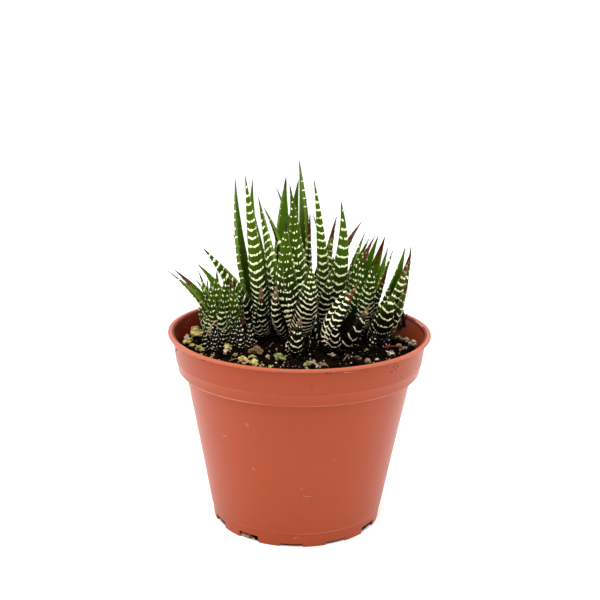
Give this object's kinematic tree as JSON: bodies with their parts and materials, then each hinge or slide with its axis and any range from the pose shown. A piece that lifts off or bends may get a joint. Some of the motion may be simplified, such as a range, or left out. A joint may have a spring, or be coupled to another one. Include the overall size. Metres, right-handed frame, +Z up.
{
  "type": "potted haworthia",
  "caption": "Clump of white-banded haworthia rosettes growing in soil in a round tapered plastic nursery pot with a collar and a notched foot.",
  "frame": {"origin": "centre of the pot's foot, on the surface it stands on", "axes": "+Z up, -Y towards the side that the picture shows, +X to its right"},
  "size_m": [0.1048, 0.1048, 0.1435],
  "materials": {
    "pot_plastic": "thin moulded terracotta-coloured plastic, satin, with a soft sheen",
    "soil": "dark peat with pale pumice and bark crumbs",
    "leaf": "firm succulent leaf, satin green with raised white bands and brown-red tips"
  },
  "bodies": {
    "root": {"pot": "pot_plastic", "soil": "soil", "rosette_left": "leaf", "rosette_centre_left": "leaf", "rosette_centre": "leaf", "rosette_back": "leaf", "rosette_centre_right": "leaf", "rosette_right": "leaf", "rosette_far_right": "leaf", "rosette_front_right": "leaf", "rosette_front": "leaf"}
  },
  "joints": []
}
